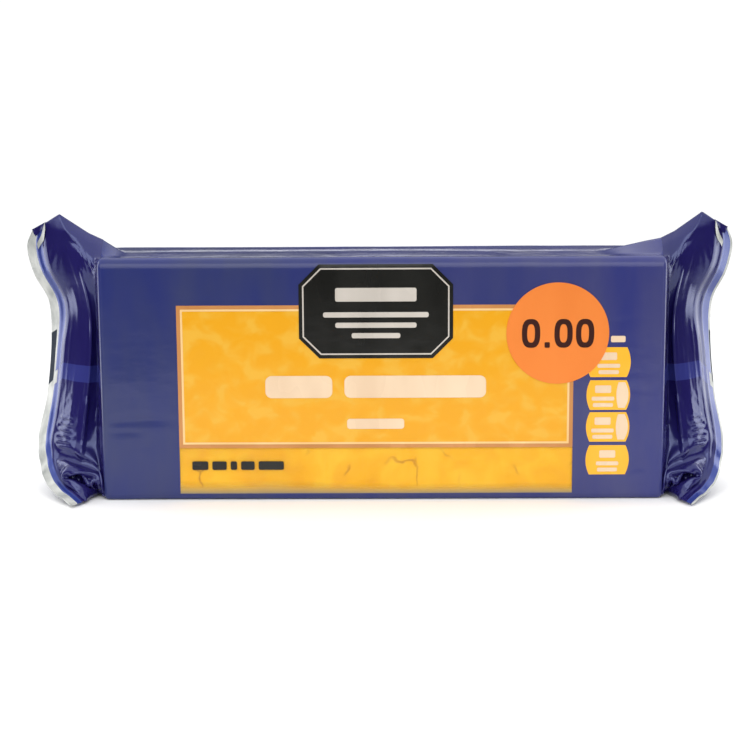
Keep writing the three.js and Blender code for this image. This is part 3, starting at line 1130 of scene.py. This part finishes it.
def edge_piece(side, rows):
    """The unprinted edge of a seal, closed along its outer line, with its dark patch."""
    count = rows.shape[1]
    faces = tube_faces(len(rows), count)
    last = (len(rows) - 1) * count
    for i in range(count // 2):
        corners = [last + (k + count) % count for k in (i, i + 1, -i - 1, -i)]
        faces.append(tuple(dict.fromkeys(corners)))
    faces = flipped(faces, side == "left")
    edge = piece(f"unprinted_edge_{side}", rows, faces, bare_film_and_shade, "unprinted_film")
    patch_rows = range(math.ceil(PATCH_START * len(rows)), len(rows) - 1)
    add_second(edge, navy_ink, lambda k: k // count in patch_rows and within(k % count, PATCH_SHARES))


def corner_fold(side):
    """The folded corner at the top of a seal: a pale leaf of bare film over a printed flap."""
    for name, outline, lift, material, slot in (
            ("corner_leaf", LEAF_OUTLINE, LEAF_LIFT, bare_film_and_shade, "unprinted_film"),
            # The flap wears the closures' ink, with its painted shade
            ("corner_flap", FLAP_OUTLINE, FLAP_LIFT, end_shaded_ink, "printed_film")):
        points, faces = filled(divided(outline, FOLD_STEPS), lift, 8, None, seal_surface(side))
        piece(f"{name}_{side}", points, flipped(faces, side == "right"), material, slot)


def film_body():
    """The film round the block, open where the window's sheets go."""
    rows = film_body_rows()
    stations = rows[:, 0, 0]
    top_column = int(np.argmax(HALF_COLUMNS > tube_of_height(WINDOW_TOP)))

    def in_window(j, i):
        middle = (stations[j] + stations[j + 1]) / 2
        return WINDOW_LEFT < middle < WINDOW_RIGHT and top_column <= i < STEPS_ABOVE

    faces = tube_faces(len(rows), TUBE_STEPS, in_window)
    made = piece("film_body", rows, faces, blue_ink, "printed_film")
    add_sheet_uv(made, len(rows), TUBE_STEPS, True)
    return made


def back_seam():
    """The lengthwise seam: two film edges sealed together and folded down flat on the back."""
    limit = HALF_LENGTH - END_RADIUS
    turned = HALF_LENGTH - END_RADIUS * (1 - np.sin(SEAM_TURNS))
    xs = np.concatenate([-turned[::-1], np.linspace(-limit, limit, SEAM_LENGTH_STEPS), turned])
    layer = np.linspace(0, SEAM_WIDTH, SEAM_STEPS)
    drops = np.concatenate([layer, layer[::-1]])
    away = np.repeat([0.5, -0.5], SEAM_STEPS)[:, None]
    x, drop = np.meshgrid(xs, drops)
    calm = 1 - smooth_step(limit - SEAM_CALM, limit, np.abs(x))
    rib = SEAM_RIB * np.sin(2 * math.pi * x / SEAM_PITCH) * smooth_step(0.6, 1.6, drop)
    slack = wave(SEAM_SLACK, x, drop * 0.4) * smooth_step(2, 8, drop)
    stand = SEAM_STAND * smooth_step(*SEAM_RISE, drop) + (slack + rib) * calm
    z = SEAM_TOP + wave(SEAM_WANDER, x, x * 0) * calm - drop
    points = film_surface(x, z, stand + SEAM_THICKNESS * away, -1)
    seam = piece("back_seam", points, sheet_faces(len(drops), len(xs)), blue_ink, "printed_film")
    add_sheet_uv(seam, len(drops), len(xs), False)


def cheese_block():
    """The cheddar itself, just inside the film, with hollows and pits on its front."""
    limit = HALF_LENGTH - CHEESE_GAP - CHEESE_ROUND
    rounded = [(limit + CHEESE_ROUND * math.sin(turn), CHEESE_ROUND * (1 - math.cos(turn)))
               for turn in CHEESE_TURNS]
    stations = [(-x, inward) for x, inward in reversed(rounded)]
    stations += [(x, None) for x in np.linspace(-limit, limit, CHEESE_ROWS)] + rounded
    rows = []
    for x, inward in stations:
        inward = cheese_dents(x) if inward is None else np.full(TUBE_STEPS, inward)
        points = SECTION - SECTION_NORMAL * (CHEESE_GAP + inward)[:, None]
        rows.append(np.column_stack([np.full(TUBE_STEPS, x), points]))
    grid = np.array(rows)
    first = grid.shape[0] * TUBE_STEPS
    last = first - TUBE_STEPS
    points = np.concatenate([grid.reshape(-1, 3), grid[0].mean(0)[None], grid[-1].mean(0)[None]])
    faces = tube_faces(len(rows), TUBE_STEPS)
    faces += [(first, (i + 1) % TUBE_STEPS, i) for i in range(TUBE_STEPS)]
    faces += [(first + 1, last + i, last + (i + 1) % TUBE_STEPS) for i in range(TUBE_STEPS)]
    piece("cheese_block", points, faces, cheddar, "cheese")


def cheese_dents(x):
    """Depth of the cheese's surface under its plain section at x: soft hollows and small pits."""
    x = np.full(TUBE_STEPS, x)
    dents = np.maximum(wave(HOLLOW_WAVE, x, AROUND), 0)
    z = BLOCK_HEIGHT - EDGE_RADIUS - (AROUND - FRONT_START)
    for n, (pit_x, pit_z) in enumerate(PIT_PLACES):
        away = np.hypot((x - pit_x) / PIT_STRETCH, z - pit_z)
        away = away * (1 + wave((*PIT_WAVE, PIT_SEED + n), x, z))
        dents = dents + PIT_DEPTH * np.exp(-(away / PIT_RADIUS) ** 2) * (LAYER > 0)
    return dents


# Flat shapes on the film, seen from the front and turning from +X to +Z

def front_sheet(name, x_range, z_range, material, slot):
    """A piece of the front film between two heights, as a grid on the film's own surface."""
    across = max(2, round((x_range[1] - x_range[0]) / SHEET_STEP) + 1)
    up = max(2, round((z_range[1] - z_range[0]) / (SHEET_STEP / 2)) + 1)
    x, z = np.meshgrid(np.linspace(*x_range, across), np.linspace(*z_range, up))
    made = piece(name, film_surface(x, z, 0.0), sheet_faces(up, across), material, slot)
    add_sheet_uv(made, up, across, False)


def frame_line(name, inset, width, lift, material):
    """A printed line of one width round the amber panel, at a distance inside its outline."""
    low = np.array([WINDOW_LEFT + inset, PANEL_BOTTOM + inset])
    high = np.array([WINDOW_RIGHT - inset, WINDOW_TOP - inset])
    outer, inner = (divided([(a[0], a[1]), (b[0], a[1]), (b[0], b[1]), (a[0], b[1])], FRAME_STEPS)
                    for a, b in ((low, high), (low + width, high - width)))
    printed(name, [banded(outer, inner, lift)], material, "pale_print")


def divided(corners, steps):
    """An outline's corners with further points along each side."""
    points = []
    for a, b in zip(corners, corners[1:] + corners[:1]):
        for i in range(steps):
            t = i / steps
            points.append((a[0] + (b[0] - a[0]) * t, a[1] + (b[1] - a[1]) * t))
    return points


def filled(outline, offset, rings=4, foot=None, surface=film_surface):
    """Points and faces of a flat shape on the film, in rings from its middle.

    With a foot it has an upright rim from the outline down to that offset.
    """
    outline = np.array(outline)
    middle = outline.mean(0)
    count = len(outline)
    flat = np.array([middle + (outline - middle) * (k + 1) / rings for k in range(rings)])
    points = [surface(middle[0], middle[1], offset)[None, :]]
    points.append(surface(flat[..., 0], flat[..., 1], offset).reshape(-1, 3))
    faces = [(0, 1 + i, 1 + (i + 1) % count) for i in range(count)]
    faces += [tuple(1 + corner for corner in face[::-1]) for face in tube_faces(rings, count)]
    if foot is not None:
        start = 1 + rings * count
        points += [surface(outline[:, 0], outline[:, 1], lift) for lift in (offset, foot)]
        faces += [tuple(start + corner for corner in face[::-1]) for face in tube_faces(2, count)]
    return np.concatenate(points), faces


def banded(outer, inner, offset):
    """Points and faces of the band between two outlines with as many points each."""
    rings = np.array([outer, inner])
    points = film_surface(rings[..., 0], rings[..., 1], offset).reshape(-1, 3)
    return points, tube_faces(2, len(outer))


def printed(name, shapes, material, slot):
    """One piece made of several flat printed shapes."""
    points = []
    faces = []
    start = 0
    for shape_points, shape_faces in shapes:
        points.append(shape_points)
        faces += [tuple(start + corner for corner in face) for face in shape_faces]
        start += len(shape_points)
    return piece(name, np.concatenate(points), faces, material, slot)


def bar(cx, cz, width, height, radius, lift, rings=2, steps=6):
    """A filled bar with round corners."""
    points = []
    for k, (kx, kz) in enumerate(((1, 1), (-1, 1), (-1, -1), (1, -1))):
        for i in range(steps + 1):
            angle = (k + i / steps) * math.pi / 2
            points.append((cx + kx * (width / 2 - radius) + radius * math.cos(angle),
                           cz + kz * (height / 2 - radius) + radius * math.sin(angle)))
    return filled(points, lift, rings)


def oval(cx, cz, across, up, power=1.0, steps=48):
    """An ellipse, or with a lower power a figure's outline, between an ellipse and a rectangle."""
    turns = 2 * math.pi * np.arange(steps) / steps
    x, z = (np.sign(side) * np.abs(side) ** power for side in (np.cos(turns), np.sin(turns)))
    return np.column_stack([cx + across * x, cz + up * z])


def pill(cz, steps=14):
    """A shape with flat ends above and below and sides that swell outwards."""
    points = []
    for sign in (1, -1):
        for i in range(steps + 1):
            t = -1 + 2 * i / steps
            x = PILL_X + sign * (PILL_WIDTH / 2 - PILL_BULGE * t * t)
            points.append((x, cz + sign * t * PILL_HEIGHT / 2))
    return points


def crescent(cz):
    """The pale outer end of a pill, inside its curved edge."""
    ts = [-1 + 2 * i / CRESCENT_STEPS for i in range(CRESCENT_STEPS + 1)]
    high = PILL_HEIGHT / 2 - 0.5
    edge = PILL_X + PILL_WIDTH / 2
    outer = [(edge - CRESCENT_INSET - PILL_BULGE * t * t, cz + t * high) for t in ts]
    inner = [(edge - CRESCENT_WIDTH + 0.5 * t * t, cz + t * high) for t in ts]
    return outer + inner[::-1]


def plaque_outline(inset=0.0):
    """A wide plaque with cut corners. Along the cuts an inset keeps the same distance."""
    w = PLAQUE_WIDTH / 2 - inset
    h = PLAQUE_HEIGHT / 2 - inset
    cut = PLAQUE_CUT - 2 * math.tan(math.pi / 8) * inset / math.sqrt(2)
    corners = [(w, -h + cut), (w, h - cut), (w - cut, h), (-w + cut, h),
               (-w, h - cut), (-w, -h + cut), (-w + cut, -h), (w - cut, -h)]
    return divided([(PLAQUE_X + x, PLAQUE_Z + z) for x, z in corners], 10)


def plaque():
    lift = 3 * PRINT_LIFT
    edge = banded(plaque_outline(PLAQUE_INSET), plaque_outline(PLAQUE_INSET + PLAQUE_LINE), lift)
    bars = [bar(PLAQUE_X, z, width, height, 0.5, lift, 3) for z, width, height in PLAQUE_BARS]
    printed("plaque", [filled(plaque_outline(), 2 * PRINT_LIFT, 14)], black_ink, "dark_print")
    printed("plaque_line", [edge], silver_ink, "pale_print")
    printed("plaque_marks", bars, silver_ink, "pale_print")


def panel_bars():
    """The plain bars on the amber panel and on the clear strip below it."""
    title = [bar((low + high) / 2, z, high - low, height, TITLE_ROUNDING * height, PRINT_LIFT, 4)
             for low, high, z, height in TITLE_BARS]
    weight = [bar((low + high) / 2, WEIGHT_Z, high - low, WEIGHT_HEIGHT, 0.4, PRINT_LIFT)
              for low, high in WEIGHT_BARS]
    printed("title_bars", title, white_ink, "pale_print")
    printed("weight_bars", weight, black_ink, "dark_print")


def side_column():
    """The column of pills with small plain bars, and the pale ends of the middle two."""
    lift = 2 * PRINT_LIFT
    shapes = [bar(*TOP_BAR, 0.4, PRINT_LIFT)]
    for k, z in enumerate(PILL_PLACES):
        middle_two = k in (1, 2)
        cx = PILL_X - PILL_SHIFT if middle_two else PILL_X
        shapes += [bar(cx, z + dz, width, height, 0.35, lift) for dz, width, height in PILL_BARS]
        if middle_two:
            shapes.append(filled(crescent(z), lift, 3))
    printed("side_pills", [filled(pill(z), PRINT_LIFT) for z in PILL_PLACES], amber_solid, "amber_print")
    printed("side_marks", shapes, white_ink, "pale_print")


def price_sticker():
    """A round paper sticker with plain figures."""
    low, high = (np.array(corner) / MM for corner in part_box("price_sticker"))
    cx, _, cz = (low + high) / 2
    radius = (high[0] - low[0]) / 2
    round_shape = filled(oval(cx, cz, radius, radius, steps=96), STICKER_LIFT, 16, 0.0)
    disc = printed("round_sticker", [round_shape], label_ink, "sticker_paper")
    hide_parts("price_sticker")
    lift = STICKER_LIFT + PRINT_LIFT
    half = np.array([FIGURE_WIDTH, FIGURE_HEIGHT]) / 2
    shapes = []
    for x in FIGURE_PLACES:
        outer, inner = (oval(cx + x, cz, *size, FIGURE_ROUNDING) for size in (half, half - FIGURE_STROKE))
        shapes.append(banded(outer, inner, lift))
    point_z = cz - half[1] + POINT_SIZE[1] / 2
    shapes.append(bar(cx + POINT_PLACE, point_z, *POINT_SIZE, 0.3, lift))
    printed("sticker_figures", shapes, brown_ink, "dark_print")


film = film_body()
back_seam()
for side in ("left", "right"):
    film_end(side)
    corner_fold(side)
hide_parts("sealed_pack")
cheese_block()
front_sheet("clear_window", (WINDOW_LEFT, WINDOW_RIGHT), (WINDOW_BOTTOM, PANEL_BOTTOM),
            clear_ink, "clear_film")
front_sheet("amber_panel", (WINDOW_LEFT + PANEL_INSET, WINDOW_RIGHT - PANEL_INSET),
            (PANEL_BOTTOM + PANEL_INSET, WINDOW_TOP - PANEL_INSET), amber_ink, "amber_print")
frame_line("keyline", 0, KEYLINE_WIDTH + 0.1, KEYLINE_LIFT, keyline_ink)
frame_line("cream_line", KEYLINE_WIDTH, CREAM_WIDTH, PRINT_LIFT, cream_ink)
plaque()
panel_bars()
side_column()
price_sticker()


# Stage, light and camera

def softbox():
    lamp = bpy.data.lights.new("front_softbox", "AREA")
    lamp.shape = "RECTANGLE"
    lamp.size, lamp.size_y = SOFTBOX_SIZE
    lamp.energy = SOFTBOX_WATTS
    made = bpy.data.objects.new("front_softbox", lamp)
    made.location = SOFTBOX_PLACE
    toward = Vector(SOFTBOX_AIM) - Vector(SOFTBOX_PLACE)
    made.rotation_euler = toward.to_track_quat("-Z", "Y").to_euler()
    bpy.context.scene.collection.objects.link(made)


def stage_floor():
    """A white table whose edge fades out."""
    made, tree, shader = node_material("floor_white")
    shares = []
    for axis, half, centre in zip("XY", FLOOR_HALF, FLOOR_CENTRE):
        away = worked(tree, "ABSOLUTE", worked(tree, "SUBTRACT", place(tree, axis), float(centre)))
        shares.append(spread(tree, away, 1, 0, FLOOR_FADE * half, half, True))
    white = ramp(tree, place_noise(tree, 3, 2.0), 0.3, 0.7, [(0.88, 0.88, 0.88), (0.9, 0.9, 0.9)])
    feed(tree, shader, {"Base Color": white, "Roughness": 0.9, "Specular IOR Level": 0.1,
                        "Alpha": worked(tree, "MULTIPLY", *shares)})
    mesh = bpy.data.meshes.new("floor")
    corners = [(FLOOR_CENTRE[0] + kx * FLOOR_HALF[0], FLOOR_CENTRE[1] + ky * FLOOR_HALF[1], 0)
               for kx, ky in ((-1, -1), (1, -1), (1, 1), (-1, 1))]
    mesh.from_pydata(corners, [], [(0, 1, 2, 3)])
    mesh.materials.append(made)
    floor = bpy.data.objects.new("floor", mesh)
    bpy.context.scene.collection.objects.link(floor)


def room_light(tree):
    """Strength of the room's light by direction."""
    where = new_node(tree, "TexCoord", {}).outputs["Generated"]
    way = new_node(tree, "SeparateXYZ", {"Vector": where}).outputs
    total = spread(tree, way["Z"], SKY_SIDE, SKY_TOP, *SKY_RISE, True)
    axes = {"X": worked(tree, "ABSOLUTE", way["X"]), "Y": way["Y"], "Z": worked(tree, "ABSOLUTE", way["Z"])}
    for strength, fades in SKY_PARTS:
        part = strength
        for axis, gone, full in fades:
            ends = (0, 1, gone, full) if gone < full else (1, 0, full, gone)
            part = worked(tree, "MULTIPLY", spread(tree, axes[axis], *ends, True), part)
        total = worked(tree, "ADD", total, part)
    return total


def studio_world():
    """A bright white room to the eye; the pack is lit from above and from the sides behind it."""
    world = bpy.data.worlds.new("studio")
    bpy.context.scene.world = world
    world.use_nodes = True
    tree = world.node_tree
    seen = feed(tree, tree.nodes["Background"], {"Color": (1, 1, 1, 1), "Strength": ROOM_WHITE})
    light = new_node(tree, "Background", {"Color": (1, 1, 1, 1), "Strength": room_light(tree)})
    by_eye = new_node(tree, "LightPath", {}).outputs["Is Camera Ray"]
    values = {"Fac": by_eye, 1: light.outputs["Background"], 2: seen.outputs["Background"]}
    mix = new_node(tree, "MixShader", values)
    feed(tree, tree.nodes["World Output"], {"Surface": mix.outputs["Shader"]})


def photo_camera():
    """The camera that matches the photograph's view."""
    turns = ((CAMERA_AZIMUTH, "Z"), (math.pi / 2 - CAMERA_ELEVATION, "X"), (CAMERA_ROLL, "Z"))
    stand = Matrix.Translation(CAMERA_AIM)
    for angle, axis in turns:
        stand = stand @ Matrix.Rotation(angle, 4, axis)
    lens = bpy.data.cameras.new("camera")
    lens.sensor_width = CAMERA_SENSOR
    lens.lens = CAMERA_LENS
    lens.shift_x, lens.shift_y = CAMERA_SHIFT
    made = bpy.data.objects.new("camera", lens)
    made.matrix_world = stand @ Matrix.Translation((0, 0, CAMERA_DISTANCE))
    bpy.context.scene.collection.objects.link(made)
    bpy.context.scene.camera = made


stage_floor()
studio_world()
softbox()
photo_camera()
bpy.context.scene.view_settings.view_transform = "Standard"
